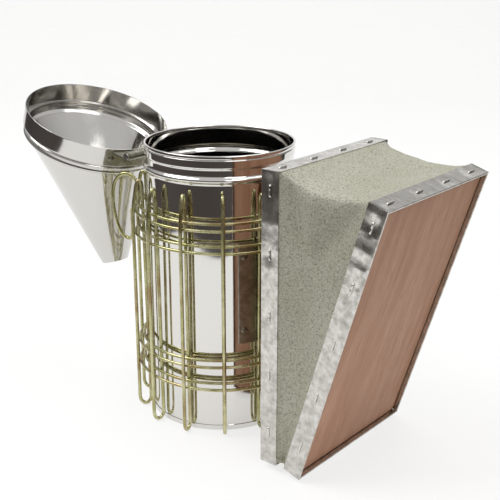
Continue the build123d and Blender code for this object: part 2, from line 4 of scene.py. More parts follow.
import bmesh
import bpy
import numpy as np
from mathutils import Euler, Matrix, Vector


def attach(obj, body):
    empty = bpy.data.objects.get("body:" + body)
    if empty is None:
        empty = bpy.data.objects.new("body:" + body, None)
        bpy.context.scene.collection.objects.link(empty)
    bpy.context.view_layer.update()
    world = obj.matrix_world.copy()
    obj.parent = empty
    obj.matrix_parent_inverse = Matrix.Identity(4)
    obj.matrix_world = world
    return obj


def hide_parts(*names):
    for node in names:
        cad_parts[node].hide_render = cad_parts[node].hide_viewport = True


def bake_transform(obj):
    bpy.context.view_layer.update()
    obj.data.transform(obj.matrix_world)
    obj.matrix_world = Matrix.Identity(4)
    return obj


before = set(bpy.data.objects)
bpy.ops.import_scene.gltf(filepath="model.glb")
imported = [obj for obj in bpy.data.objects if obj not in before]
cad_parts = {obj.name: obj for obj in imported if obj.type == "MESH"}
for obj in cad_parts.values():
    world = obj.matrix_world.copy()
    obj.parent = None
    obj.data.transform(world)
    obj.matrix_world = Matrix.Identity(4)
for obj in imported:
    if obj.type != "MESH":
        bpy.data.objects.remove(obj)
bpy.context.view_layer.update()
mm = 0.001

# the object's sizes are in millimetres, as the CAD has them, and the stage's in metres
# the bellows' sizes stand first, because the outer board's wood grain follows the open angle
bellows = {"width": 111.5, "innerX": 80.9, "innerHeight": 184.8, "outerHeight": 185.6, "floorGap": 5.0,
           "stripWidth": 12.4, "stripSheet": 0.6, "hem": 2.4, "footGap": 6.0,
           "openAngle": 16.67, "sag": 6.0, "drawIn": 2.5}
bellows["innerFace"] = bellows["innerX"] + bellows["stripWidth"]
bellows["hingeX"] = bellows["innerFace"] + bellows["footGap"] / 2
bellows["hingeZ"] = bellows["floorGap"] + 1.6
bellows["outerFace"] = bellows["hingeX"] + bellows["footGap"] / 2

# shaping helpers


def srgb(code):
    parts = [int(code[i:i + 2], 16) / 255 for i in (1, 3, 5)]
    return tuple(c / 12.92 if c <= 0.04045 else ((c + 0.055) / 1.055) ** 2.4 for c in parts) + (1.0,)


def softened(points, reach, closed=False, steps=5):
    pts = [np.array(p, float) for p in points]
    reaches = reach if isinstance(reach, (list, tuple)) else [reach] * len(pts)
    out = []
    for k, corner in enumerate(pts):
        if reaches[k] == 0 or (not closed and k in (0, len(pts) - 1)):
            out.append(corner)
            continue
        before, after = pts[k - 1], pts[(k + 1) % len(pts)]
        legIn, legOut = np.linalg.norm(before - corner), np.linalg.norm(after - corner)
        startPoint = corner + (before - corner) / legIn * min(reaches[k], legIn * 0.49)
        endPoint = corner + (after - corner) / legOut * min(reaches[k], legOut * 0.49)
        for j in range(steps + 1):
            t = j / steps
            out.append((1 - t) ** 2 * startPoint + 2 * t * (1 - t) * corner + t * t * endPoint)
    return out


def makeObject(name, verts, faces, smooth=True):
    mesh = bpy.data.meshes.new(name)
    mesh.from_pydata([tuple(v) for v in verts], [], faces)
    mesh.update()
    obj = bpy.data.objects.new(name, mesh)
    bpy.context.scene.collection.objects.link(obj)
    if smooth:
        mesh.polygons.foreach_set("use_smooth", [True] * len(mesh.polygons))
    return obj


def lathe(name, profile, steps, insideFrom=None):
    verts, faces, inside = [], [], []
    count = len(profile)
    for k in range(steps):
        angle = 2 * math.pi * k / steps
        verts.extend((r * math.cos(angle) * mm, r * math.sin(angle) * mm, z * mm) for r, z in profile)
    for k in range(steps):
        here, there = k * count, (k + 1) % steps * count
        for j in range(count):
            nextJ = (j + 1) % count
            faces.append((here + j, there + j, there + nextJ, here + nextJ))
            inside.append(1 if insideFrom is not None and j >= insideFrom else 0)
    obj = makeObject(name, verts, faces)
    obj.data.polygons.foreach_set("material_index", inside)
    return obj


def smoothByAngle(obj, degrees):
    obj.data.set_sharp_from_angle(angle=math.radians(degrees))


def cutHole(obj, radius, start, direction, length):
    steps = 48
    axis = Vector(direction).normalized()
    turn = axis.to_track_quat("Z", "Y").to_matrix().to_4x4()
    verts = []
    for along in (0, length):
        for k in range(steps):
            a = 2 * math.pi * k / steps
            rimPoint = Vector((radius * math.cos(a), radius * math.sin(a), along))
            verts.append((Vector(start) + turn @ rimPoint) * mm)
    faces = [(k, (k + 1) % steps, steps + (k + 1) % steps, steps + k) for k in range(steps)]
    faces += [tuple(range(steps))[::-1], tuple(range(steps, 2 * steps))]
    cutter = makeObject("cutter", verts, faces, smooth=False)
    hole = obj.modifiers.new("hole", "BOOLEAN")
    hole.operation = "DIFFERENCE"
    hole.solver = "EXACT"
    hole.object = cutter
    settle(obj)
    bpy.data.objects.remove(cutter)


def settle(obj):
    graph = bpy.context.evaluated_depsgraph_get()
    graph.update()
    mesh = bpy.data.meshes.new_from_object(obj.evaluated_get(graph), preserve_all_data_layers=True,
                                           depsgraph=graph)
    obj.modifiers.clear()
    old = obj.data
    obj.data = mesh
    bpy.data.meshes.remove(old)
    mesh.name = obj.name


def setInputs(modifier, values):
    for item in modifier.node_group.interface.items_tree:
        if item.item_type == "SOCKET" and item.in_out == "INPUT" and item.name in values:
            modifier[item.identifier] = values[item.name]


# node helpers


def addNode(tree, kind, x, y, inputs=None, **settings):
    node = tree.nodes.new(kind)
    node.location = (x, y)
    for name, value in settings.items():
        setattr(node, name, value)
    for key, value in (inputs or {}).items():
        if isinstance(value, bpy.types.NodeSocket):
            tree.links.new(value, node.inputs[key])
        else:
            node.inputs[key].default_value = value
    return node


def newMaterial(name, colour, metallic, roughness, ior=1.5):
    material = bpy.data.materials.new(name)
    material.use_nodes = True
    tree = material.node_tree
    shader = tree.nodes["Principled BSDF"]
    shader.location = (600, 0)
    tree.nodes["Material Output"].location = (900, 0)
    shader.inputs["Base Color"].default_value = srgb(colour)
    shader.inputs["Metallic"].default_value = metallic
    shader.inputs["Roughness"].default_value = roughness
    shader.inputs["IOR"].default_value = ior
    material.diffuse_color = srgb(colour)
    place = addNode(tree, "ShaderNodeTexCoord", -1400, 0)
    return material, tree, shader, place.outputs["Object"]


def stretched(tree, coordinate, scale, turn=(0, 0, 0), x=-1150, y=0):
    mapping = addNode(tree, "ShaderNodeMapping", x, y, {"Vector": coordinate, "Scale": scale, "Rotation": turn})
    return mapping.outputs["Vector"]


def noise(tree, coordinate, featureMm, detail=3.0, roughness=0.5, x=-900, y=0, distortion=0.0):
    node = addNode(tree, "ShaderNodeTexNoise", x, y, {"Vector": coordinate, "Scale": 1000.0 / featureMm,
                   "Detail": detail, "Roughness": roughness, "Distortion": distortion})
    return node.outputs["Fac"]


def ranged(tree, value, low, high, outLow, outHigh, x=-600, y=0):
    node = addNode(tree, "ShaderNodeMapRange", x, y, {"Value": value, "From Min": low, "From Max": high,
                   "To Min": outLow, "To Max": outHigh})
    return node.outputs["Result"]


def mixed(tree, share, first, second, x=-300, y=0, blendType="MIX"):
    node = addNode(tree, "ShaderNodeMix", x, y, data_type="RGBA", blend_type=blendType)
    for index, value in ((0, share), (6, first), (7, second)):
        if isinstance(value, bpy.types.NodeSocket):
            tree.links.new(value, node.inputs[index])
        else:
            node.inputs[index].default_value = value
    return node.outputs[2]


def maths(tree, operation, first, second, x=-450, y=-300):
    node = addNode(tree, "ShaderNodeMath", x, y, {0: first, 1: second}, operation=operation)
    return node.outputs[0]


def bumped(tree, shader, height, strength, distanceMm, x=350, y=-300, under=None):
    node = addNode(tree, "ShaderNodeBump", x, y, {"Height": height, "Strength": strength,
                   "Distance": distanceMm * mm})
    if under is not None:
        tree.links.new(under, node.inputs["Normal"])
    tree.links.new(node.outputs["Normal"], shader.inputs["Normal"])
    return node.outputs["Normal"]


# materials


# polished stainless sheet: a near mirror, with slow waves from rolling and faint upright streaks
def mirrorSteel(name, colour, rough, waveMm, waveHeight):
    material, tree, shader, place = newMaterial(name, colour, 1.0, rough)
    smears = noise(tree, place, 26, 3, y=200)
    fine = noise(tree, stretched(tree, place, (1, 1, 0.06), y=-50), 0.9, 2, y=-50)
    spread = ranged(tree, smears, 0.35, 0.7, rough * 0.6, rough * 1.5, y=200)
    streaks = ranged(tree, fine, 0.4, 0.75, 0.0, rough * 0.5, y=-50)
    tree.links.new(maths(tree, "ADD", spread, streaks, x=-100, y=50), shader.inputs["Roughness"])
    wave = noise(tree, place, waveMm, 1, 0.3, y=-350)
    first = bumped(tree, shader, wave, 0.5, waveHeight, x=100)
    bumped(tree, shader, fine, 0.05, 0.02, under=first)
    return material


# the unpolished inside of the same sheet: soft broad highlights and fine rings
def satinSteel(name, colour, rough):
    material, tree, shader, place = newMaterial(name, colour, 1.0, rough)
    rings = noise(tree, stretched(tree, place, (0.05, 0.05, 1), y=0), 0.5, 3, y=0)
    cloud = noise(tree, place, 18, 3, y=250)
    tint = mixed(tree, ranged(tree, cloud, 0.3, 0.7, 0, 1, y=250), srgb(colour), srgb("#B4B2AC"), y=250)
    tree.links.new(tint, shader.inputs["Base Color"])
    tree.links.new(ranged(tree, cloud, 0.3, 0.7, rough * 0.85, rough * 1.2, y=60), shader.inputs["Roughness"])
    bumped(tree, shader, rings, 0.08, 0.03)
    return material


# zinc wire with a yellow chromate: a warm sheen that turns from straw to brown in patches
def passivatedWire():
    material, tree, shader, place = newMaterial("zincChromateWire", "#B5B183", 0.92, 0.24)
    patch = noise(tree, place, 9, 3, 0.6, y=250)
    blush = noise(tree, place, 23, 2, 0.5, y=0)
    base = mixed(tree, ranged(tree, patch, 0.38, 0.66, 0, 1, y=250), srgb("#A9A674"), srgb("#CFCCA4"), y=250)
    tinted = mixed(tree, ranged(tree, blush, 0.5, 0.72, 0, 0.7, y=0), base, srgb("#8B6B45"), x=0, y=100)
    tree.links.new(tinted, shader.inputs["Base Color"])
    tree.links.new(ranged(tree, patch, 0.3, 0.7, 0.18, 0.34, y=-150), shader.inputs["Roughness"])
    bumped(tree, shader, noise(tree, place, 1.2, 2, y=-300), 0.12, 0.04)
    return material


# galvanised sheet: dull grey with crystal spangle and darker stains
def zincSheet(name, colour, darker):
    material, tree, shader, place = newMaterial(name, colour, 0.95, 0.34)
    spangle = addNode(tree, "ShaderNodeTexVoronoi", -900, 250, {"Vector": place, "Scale": 1000 / 3.2})
    cloud = noise(tree, place, 7, 3, y=0)
    share = ranged(tree, spangle.outputs["Color"], 0.2, 0.8, 0, 1, y=250)
    base = mixed(tree, share, srgb(colour), srgb(darker), y=250)
    stained = mixed(tree, ranged(tree, cloud, 0.45, 0.75, 0, 0.55, y=0), base, srgb("#6F665A"), x=0, y=100)
    tree.links.new(stained, shader.inputs["Base Color"])
    tree.links.new(ranged(tree, cloud, 0.3, 0.7, 0.26, 0.42, y=-150), shader.inputs["Roughness"])
    bumped(tree, shader, cloud, 0.2, 0.1)
    return material


# nickelled steel: small bright points with scuffs
def brightFastener():
    material, tree, shader, place = newMaterial("nickelledSteel", "#D8D6D0", 1.0, 0.2)
    scuff = noise(tree, place, 1.6, 3, y=100)
    tree.links.new(ranged(tree, scuff, 0.35, 0.7, 0.12, 0.34, y=100), shader.inputs["Roughness"])
    bumped(tree, shader, scuff, 0.15, 0.05)
    return material


# steel rivets dulled where they were hammered
def darkFastener():
    material, tree, shader, place = newMaterial("dullRivetSteel", "#8C8577", 0.9, 0.36)
    scuff = noise(tree, place, 1.4, 3, y=100)
    base = mixed(tree, ranged(tree, scuff, 0.4, 0.65, 0, 1, y=100), srgb("#8C8577"), srgb("#5F564A"), y=100)
    tree.links.new(base, shader.inputs["Base Color"])
    bumped(tree, shader, scuff, 0.2, 0.08)
    return material


# sanded plywood, unvarnished: fibres, broad bands and short dark pores run up the board
def plywood(name, turnAngle):
    material, tree, shader, place = newMaterial(name, "#B08468", 0.0, 0.62, 1.5)
    straight = stretched(tree, place, (1, 1, 1), (0, -turnAngle, 0), x=-1400, y=-200)
    fibres = noise(tree, stretched(tree, straight, (1, 1, 0.035)), 0.8, 4, 0.6, y=300)
    bands = noise(tree, stretched(tree, straight, (1, 1, 0.12), y=-200), 11, 3, 0.55, y=50, distortion=0.5)
    pores = noise(tree, stretched(tree, straight, (1, 1, 0.07), y=-400), 0.55, 2, 0.5, y=-200)
    ground = mixed(tree, ranged(tree, bands, 0.32, 0.68, 0, 1, y=50), srgb("#BE957B"), srgb("#A87B60"), y=200)
    lined = mixed(tree, ranged(tree, fibres, 0.35, 0.7, 0, 0.7, y=300), ground, srgb("#966A50"), x=-50, y=200)
    dotted = mixed(tree, ranged(tree, pores, 0.62, 0.74, 0, 0.6, y=-200), lined, srgb("#6E4936"), x=200, y=200)
    tree.links.new(dotted, shader.inputs["Base Color"])
    tree.links.new(ranged(tree, fibres, 0.3, 0.7, 0.52, 0.72, y=-50), shader.inputs["Roughness"])
    bumped(tree, shader, maths(tree, "SUBTRACT", fibres, ranged(tree, pores, 0.6, 0.75, 0, 0.8, y=-350)), 0.35, 0.12)
    return material


# thin tin plate folded by hand: it mirrors its surroundings in uneven patches
def tinPlate():
    material, tree, shader, place = newMaterial("hemmedTinPlate", "#CFCDC8", 1.0, 0.16)
    mottle = noise(tree, place, 5.5, 4, 0.65, y=250)
    grain = noise(tree, place, 1.1, 3, 0.6, y=0)
    base = mixed(tree, ranged(tree, mottle, 0.35, 0.65, 0, 1, y=250), srgb("#D6D4CF"), srgb("#B3B0A9"), y=250)
    tree.links.new(base, shader.inputs["Base Color"])
    tree.links.new(ranged(tree, mottle, 0.35, 0.68, 0.1, 0.26, y=60), shader.inputs["Roughness"])
    wave = noise(tree, place, 9, 2, 0.4, y=-350)
    first = bumped(tree, shader, wave, 0.45, 0.35, x=100)
    bumped(tree, shader, grain, 0.16, 0.06, under=first)
    return material


# embossed leatherette: matt, with dark flecks in the grain, which is drawn coarser so that it shows
def leatherette(name):
    material, tree, shader, place = newMaterial(name, "#A6A596", 0.0, 0.62, 1.46)
    grain = addNode(tree, "ShaderNodeTexVoronoi", -900, 350, {"Vector": place, "Scale": 1000 / 1.25,
                    "Randomness": 1.0}, feature="SMOOTH_F1")
    fleck = noise(tree, place, 1.05, 3, 0.65, y=100)
    cloud = noise(tree, place, 30, 3, 0.5, y=-150)
    ground = mixed(tree, ranged(tree, cloud, 0.3, 0.7, 0, 1, y=-150), srgb("#ABAA9B"), srgb("#A09F8D"), y=200)
    dark = mixed(tree, ranged(tree, fleck, 0.5, 0.66, 0, 0.85, y=100), ground, srgb("#6C6C5B"), x=-50, y=200)
    light = mixed(tree, ranged(tree, fleck, 0.42, 0.3, 0, 0.6, y=-50), dark, srgb("#C6C5B8"), x=200, y=200)
    tree.links.new(light, shader.inputs["Base Color"])
    tree.links.new(ranged(tree, fleck, 0.3, 0.7, 0.5, 0.7, y=-300), shader.inputs["Roughness"])
    coarse = bumped(tree, shader, grain.outputs["Distance"], 0.5, 0.35, x=100)
    bumped(tree, shader, fleck, 0.4, 0.2, under=coarse)
    return material


# blued spring steel: dark with a soft shine
def springSteel():
    material, tree, shader, place = newMaterial("bluedSpringSteel", "#5E5F63", 1.0, 0.3)
    cloud = noise(tree, place, 5, 3, y=100)
    base = mixed(tree, ranged(tree, cloud, 0.35, 0.7, 0, 1, y=100), srgb("#5E5F63"), srgb("#77726C"), y=100)
    tree.links.new(base, shader.inputs["Base Color"])
    tree.links.new(ranged(tree, cloud, 0.35, 0.7, 0.22, 0.4, y=-60), shader.inputs["Roughness"])
    return material


# vegetable-tanned leather: matt brown with a pebbled grain
def flapLeather():
    material, tree, shader, place = newMaterial("vegetableTannedLeather", "#8A5F3C", 0.0, 0.6, 1.5)
    pebble = addNode(tree, "ShaderNodeTexVoronoi", -900, 250, {"Vector": place, "Scale": 1000 / 0.9})
    cloud = noise(tree, place, 8, 3, y=0)
    base = mixed(tree, ranged(tree, cloud, 0.3, 0.7, 0, 1, y=0), srgb("#94683F"), srgb("#744B2C"), y=100)
    tree.links.new(base, shader.inputs["Base Color"])
    bumped(tree, shader, pebble.outputs["Distance"], 0.4, 0.15)
    return material


finishes = {
    "mirror": mirrorSteel("polishedStainless", "#DCDAD6", 0.045, 34, 0.35),
    "lidMirror": mirrorSteel("rolledStainless", "#D2D0CC", 0.09, 22, 0.5),
    "satin": satinSteel("satinStainless", "#C9C7C2", 0.3),
    "wire": passivatedWire(),
    "zinc": zincSheet("galvanisedSheet", "#A5A294", "#8D8A7C"),
    "bright": brightFastener(),
    "rivet": darkFastener(),
    "innerWood": plywood("birchPlywoodInner", 0.0),
    "outerWood": plywood("birchPlywoodOuter", math.radians(bellows["openAngle"])),
    "tin": tinPlate(),
    "skin": leatherette("greyGreenLeatherette"),
    "spring": springSteel(),
    "leather": flapLeather(),
}


def dress(obj, *names):
    obj.data.materials.clear()
    for name in names:
        obj.data.materials.append(finishes[name])


def place(obj, body, slotName, *nodes):
    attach(obj, body)
    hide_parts(*nodes)


print("materials made")

# wires, rivets and staples through Geometry Nodes


def wireTree():
    tree = bpy.data.node_groups.new("roundWire", "GeometryNodeTree")
    face = tree.interface
    face.new_socket("Route", in_out="INPUT", socket_type="NodeSocketGeometry")
    for label, kind in (("Radius", "NodeSocketFloat"), ("Sides", "NodeSocketInt"), ("Finish", "NodeSocketMaterial")):
        face.new_socket(label, in_out="INPUT", socket_type=kind)
    face.new_socket("Wire", in_out="OUTPUT", socket_type="NodeSocketGeometry")
    given = addNode(tree, "NodeGroupInput", -800, 0)
    path = addNode(tree, "GeometryNodeMeshToCurve", -600, 100, {"Mesh": given.outputs["Route"]})
    ring = addNode(tree, "GeometryNodeCurvePrimitiveCircle", -600, -150,
                   {"Resolution": given.outputs["Sides"], "Radius": given.outputs["Radius"]})
    tube = addNode(tree, "GeometryNodeCurveToMesh", -380, 50,
                   {"Curve": path.outputs["Curve"], "Profile Curve": ring.outputs["Curve"], "Fill Caps": True})
    soft = addNode(tree, "GeometryNodeSetShadeSmooth", -180, 50, {0: tube.outputs["Mesh"]})
    plain = addNode(tree, "GeometryNodeRealizeInstances", 0, 50, {"Geometry": soft.outputs[0]})
    dressed = addNode(tree, "GeometryNodeSetMaterial", 200, 50,
                      {"Geometry": plain.outputs[0], "Material": given.outputs["Finish"]})
    addNode(tree, "NodeGroupOutput", 400, 50, {"Wire": dressed.outputs["Geometry"]})
    return tree


def copiesTree():
    tree = bpy.data.node_groups.new("setCopies", "GeometryNodeTree")
    face = tree.interface
    face.new_socket("Places", in_out="INPUT", socket_type="NodeSocketGeometry")
    for label, kind in (("Piece", "NodeSocketObject"), ("Size Change", "NodeSocketFloat"), ("Seed", "NodeSocketInt"),
                        ("Finish", "NodeSocketMaterial")):
        face.new_socket(label, in_out="INPUT", socket_type=kind)
    face.new_socket("Copies", in_out="OUTPUT", socket_type="NodeSocketGeometry")
    given = addNode(tree, "NodeGroupInput", -1000, 0)
    points = addNode(tree, "GeometryNodeMeshToPoints", -750, 150, {"Mesh": given.outputs["Places"]})
    source = addNode(tree, "GeometryNodeObjectInfo", -750, -50, {"Object": given.outputs["Piece"]})
    turn = addNode(tree, "GeometryNodeInputNamedAttribute", -750, -300, {"Name": "turn"}, data_type="FLOAT_VECTOR")
    spin = addNode(tree, "FunctionNodeEulerToRotation", -550, -300, {"Euler": turn.outputs["Attribute"]})
    least = addNode(tree, "ShaderNodeMath", -750, -500, {0: 1.0, 1: given.outputs["Size Change"]},
                    operation="SUBTRACT")
    most = addNode(tree, "ShaderNodeMath", -750, -650, {0: 1.0, 1: given.outputs["Size Change"]},
                   operation="ADD")
    chance = addNode(tree, "FunctionNodeRandomValue", -550, -500,
                     {2: least.outputs[0], 3: most.outputs[0], "Seed": given.outputs["Seed"]}, data_type="FLOAT")
    placed = addNode(tree, "GeometryNodeInstanceOnPoints", -300, 50,
                     {"Points": points.outputs["Points"], "Instance": source.outputs["Geometry"],
                      "Rotation": spin.outputs["Rotation"], "Scale": chance.outputs[1]})
    plain = addNode(tree, "GeometryNodeRealizeInstances", -80, 50, {"Geometry": placed.outputs["Instances"]})
    dressed = addNode(tree, "GeometryNodeSetMaterial", 120, 50,
                      {"Geometry": plain.outputs[0], "Material": given.outputs["Finish"]})
    addNode(tree, "NodeGroupOutput", 320, 50, {"Copies": dressed.outputs["Geometry"]})
    return tree


trees = {"wire": wireTree(), "copies": copiesTree()}


def wires(name, routes, radius, sides, finish):
    verts, edges = [], []
    for route in routes:
        first = len(verts)
        verts.extend(tuple(p * mm) for p in route)
        edges.extend((first + k, first + k + 1) for k in range(len(route) - 1))
    mesh = bpy.data.meshes.new(name)
    mesh.from_pydata(verts, edges, [])
    obj = bpy.data.objects.new(name, mesh)
    bpy.context.scene.collection.objects.link(obj)
    modifier = obj.modifiers.new("roundWire", "NODES")
    modifier.node_group = trees["wire"]
    setInputs(modifier, {"Radius": radius * mm, "Sides": sides, "Finish": finishes[finish]})
    settle(obj)
    return obj


def copies(name, piece, places, finish, sizeChange=0.0):
    mesh = bpy.data.meshes.new(name)
    mesh.from_pydata([tuple(m.to_translation()) for m in places], [], [])
    turn = mesh.attributes.new("turn", "FLOAT_VECTOR", "POINT")
    for k, m in enumerate(places):
        turn.data[k].vector = m.to_euler()
    obj = bpy.data.objects.new(name, mesh)
    bpy.context.scene.collection.objects.link(obj)
    modifier = obj.modifiers.new("setCopies", "NODES")
    modifier.node_group = trees["copies"]
    setInputs(modifier, {"Piece": piece, "Size Change": sizeChange, "Seed": 7, "Finish": finishes[finish]})
    settle(obj)
    return obj


def facing(x, y, z, outward, along):
    zAxis = Vector(outward).normalized()
    xAxis = Vector(along).normalized()
    yAxis = zAxis.cross(xAxis).normalized()
    xAxis = yAxis.cross(zAxis)
    turn = Matrix((xAxis, yAxis, zAxis)).transposed().to_4x4()
    return Matrix.Translation(Vector((x, y, z)) * mm) @ turn


def onRadius(radius, degrees, height):
    a = math.radians(degrees)
    out = (math.cos(a), math.sin(a), 0)
    return facing(radius * out[0], radius * out[1], height, out, (-out[1], out[0], 0))


def polar(radius, degrees, height):
    a = math.radians(degrees)
    return np.array((radius * math.cos(a), radius * math.sin(a), height))


# canister
canister = {"body": 48.7, "wall": 0.6, "bead": 50.25, "neckBand": 49.4, "groove": 48.9, "rim": 49.7,
            "foot": 0.8, "beadLow": 168.3, "beadHigh": 172.7, "bandLow": 177.4, "bandHigh": 183.1, "top": 186.2,
            "inletHole": 6.9, "inletHeight": 17.0, "steps": 240}


# the wall's section: up the outside over the bead and the rolled rim, and down the inside
def canisterOutline():
    body, inner, foot, top = canister["body"], canister["body"] - canister["wall"], canister["foot"], canister["top"]
    bead, insideBead, band, rim = canister["bead"], canister["bead"] - 0.55, canister["neckBand"], canister["rim"]
    beadLow, beadHigh = canister["beadLow"], canister["beadHigh"]
    bandLow, bandHigh = canister["bandLow"], canister["bandHigh"]
    return [(body, foot), (body, beadLow), (bead, beadLow + 1.4), (bead, beadHigh - 1.4), (body, beadHigh),
            (body, bandLow), (band, bandLow + 0.9), (band, bandHigh), (canister["groove"], bandHigh + 0.4),
            (rim, bandHigh + 1.0), (rim, top), (inner + 0.2, top), (inner, top - 1.6), (inner, beadHigh + 0.2),
            (insideBead, beadHigh - 1.3), (insideBead, beadLow + 1.3), (inner, beadLow - 0.2), (inner, foot)]


bends = [0, 1.2, 0.9, 0.9, 1.2, 0.8, 0.6, 0.35, 0.3, 0.6, 0.7, 0.6, 0.8, 1.2, 0.9, 0.9, 1.2, 0]


def filleted(points, reach):
    full = []
    pts = softened(points, reach, closed=True)
    for k, p in enumerate(pts):
        q = pts[(k + 1) % len(pts)]
        gap = math.dist(p, q)
        full.append(tuple(p))
        if gap > 2.4:
            full.append(tuple(p + (q - p) * 0.4 / gap))
            full.append(tuple(q + (p - q) * 0.4 / gap))
    return full


def insideStart(profile, threshold):
    top = max(range(len(profile)), key=lambda k: profile[k][1])
    return next(k for k in range(top, len(profile)) if profile[k][0] < threshold)


profile = filleted(canisterOutline(), bends)
insideAt = insideStart(profile, canister["body"] - 0.45)
shell = lathe("canisterShell", profile, canister["steps"], insideAt)
dress(shell, "mirror", "satin")
cutHole(shell, canister["inletHole"], (0, 0, canister["inletHeight"]), (1, 0, 0), 70)
smoothByAngle(shell, 35)
place(shell, "canister", "polished_stainless", "canister_shell")
print("canister shell", len(shell.data.polygons))

# lid
lidPlace = {"hingeX": -60.8, "hingeZ": 170.4, "openAngle": 160.7, "lip": 173.05, "ledge": 186.65,
            "beadHeight": 8.4, "coneBase": 47.5, "coneRise": 99.0, "coneOffset": 47.0,
            "spoutRadius": 9.2, "spoutLean": 33.0, "ventRise": 33.0, "ventBearing": 62.0,
            "ventHole": 4.0, "wall": 0.6,
            "skirt": 51.75, "waist": 49.85, "throat": 49.2, "lowBead": 51.25, "highBead": 50.85}
lip, ledge = lidPlace["lip"], lidPlace["ledge"]


def swingLid(obj):
    hinge = Vector((lidPlace["hingeX"] * mm, 0, lidPlace["hingeZ"] * mm))
    turn = Matrix.Rotation(math.radians(-lidPlace["openAngle"]), 4, "Y")
    obj.data.transform(Matrix.Translation(hinge) @ turn @ Matrix.Translation(-hinge))


# the band's section: up the skirt and both beads, and down the inside
def bandOutline():
    skirt, insideSkirt = lidPlace["skirt"], lidPlace["skirt"] - lidPlace["wall"]
    waist, throat, base = lidPlace["waist"], lidPlace["throat"], lidPlace["coneBase"]
    top = ledge + lidPlace["beadHeight"]
    return [(skirt, lip), (skirt, ledge - 0.1), (waist, ledge + 0.9), (lidPlace["lowBead"], ledge + 2.1),
            (waist, ledge + 4.2), (lidPlace["highBead"], ledge + 6.2), (base, top), (base - lidPlace["wall"], top),
            (49.9, ledge + 6.3), (throat, ledge + 4.2), (50.1, ledge + 2.4), (throat, ledge + 0.5),
            (throat, ledge), (insideSkirt, ledge), (insideSkirt, lip)]


bandBends = [0.25, 0.8, 0.7, 1.0, 1.0, 1.0, 0.3, 0.3, 0.8, 0.8, 0.8, 0.2, 0.2, 0.4, 0.25]
bandProfile = filleted(bandOutline(), bandBends)
insideAt = next(k for k, p in enumerate(bandProfile) if p[0] < lidPlace["coneBase"] - 0.2)
band = lathe("lidBand", bandProfile, canister["steps"], insideAt)
dress(band, "lidMirror", "satin")
swingLid(band)
smoothByAngle(band, 40)
place(band, "lid", "polished_stainless", "lid_band")


def coneWall():
    lean = math.radians(lidPlace["spoutLean"])
    normal = np.array((-math.sin(lean), 0, math.cos(lean)))
    spout = np.array((-lidPlace["coneOffset"], 0, lip + lidPlace["coneRise"]))
    baseZ = ledge + lidPlace["beadHeight"]
    reach, climb = lidPlace["spoutRadius"] * math.cos(lean), lidPlace["spoutRadius"] * math.sin(lean)
    radius = lidPlace["coneBase"]
    nearSlope = (-lidPlace["coneOffset"] - reach + radius) / (spout[2] - climb - baseZ)
    farSlope = (-lidPlace["coneOffset"] + reach - radius) / (spout[2] + climb - baseZ)
    height = 2 * radius / (nearSlope - farSlope)
    apex = np.array((radius + farSlope * height, 0, baseZ + height))
    steps = canister["steps"]
    shares = (0, 0.01, 0.25, 0.5, 0.75, 0.985, 1)
    verts, faces, inside = [], [], []
    for k in range(steps):
        a = 2 * math.pi * k / steps
        out = np.array((math.cos(a), math.sin(a), 0))
        lap = 0.35 if 297 < 360 * k / steps < 303 else 0.0  # the sheet laps under itself along this seam
        for skin, order in ((radius, shares), (radius - lidPlace["wall"], shares[::-1])):
            foot = out * (skin - (lap if skin == radius else 0)) + np.array((0, 0, baseZ))
            run = apex - out * radius - np.array((0, 0, baseZ))
            top = foot + run * (np.dot(spout - foot, normal) / np.dot(run, normal))
            verts.extend((foot + (top - foot) * t) * mm for t in order)
    count = 2 * len(shares)
    for k in range(steps):
        here, there = k * count, (k + 1) % steps * count
        for j in range(count):
            nextJ = (j + 1) % count
            faces.append((here + j, there + j, there + nextJ, here + nextJ))
            inside.append(1 if j >= len(shares) else 0)
    obj = makeObject("lidCone", verts, faces)
    obj.data.polygons.foreach_set("material_index", inside)
    return obj


cone = coneWall()
dress(cone, "lidMirror", "satin")
bearing = math.radians(lidPlace["ventBearing"])
ventWay = (math.cos(bearing), -math.sin(bearing), 0)
cutHole(cone, lidPlace["ventHole"] / 2, (0, 0, lip + lidPlace["ventRise"]), ventWay, 90)
swingLid(cone)
smoothByAngle(cone, 35)
place(cone, "lid", "polished_stainless", "lid_cone")
print("lid", len(band.data.polygons), len(cone.data.polygons))

# wire guard
guard = {"ribWire": 2.4, "ringWire": 2.0, "ribCount": 13, "gap": 40.0, "innerFoot": 50.8, "innerHead": 52.0,
         "outer": 58.6, "top": 163.0, "shoulder": 142.0, "outerRings": (33.0, 49.0, 126.0, 141.0),
         "innerRings": (36.5, 52.5, 130.0, 145.0)}
pitch = (360 - guard["gap"]) / (guard["ribCount"] - 1)
slope = (guard["innerHead"] - guard["innerFoot"]) / guard["top"]


# one closed rib: up beside the canister, over the top, down outside and back under
def ribSection():
    half, foot, top, outer = guard["ribWire"] / 2, guard["innerFoot"], guard["top"], guard["outer"]
    head = foot + slope * (top - 2.6)
    startZ = guard["innerRings"][0]
    start = (foot + slope * startZ, startZ)
    loop = [start, (head, top - 4.4), (head + 0.9, top - half), (head + 2.6, top - half), (head + 3.8, top - 3.6),
            (outer, guard["shoulder"]), (outer, half + 3.2), (outer - 2.6, half), (foot + 2.0, half),
            (foot, half + 3.0), start]
    return softened(loop, [0, 2.4, 1.6, 1.6, 3.0, 7.0, 3.4, 2.2, 1.8, 2.6, 0], steps=7)


section = ribSection()
angles = [guard["gap"] / 2 + k * pitch for k in range(guard["ribCount"])]
ribRoutes = [[polar(r, angle, z) for r, z in section] for angle in angles]
ribs = wires("guardRibs", ribRoutes, guard["ribWire"] / 2, 20, "wire")
place(ribs, "canister", "passivated_wire", "guard_ribs")


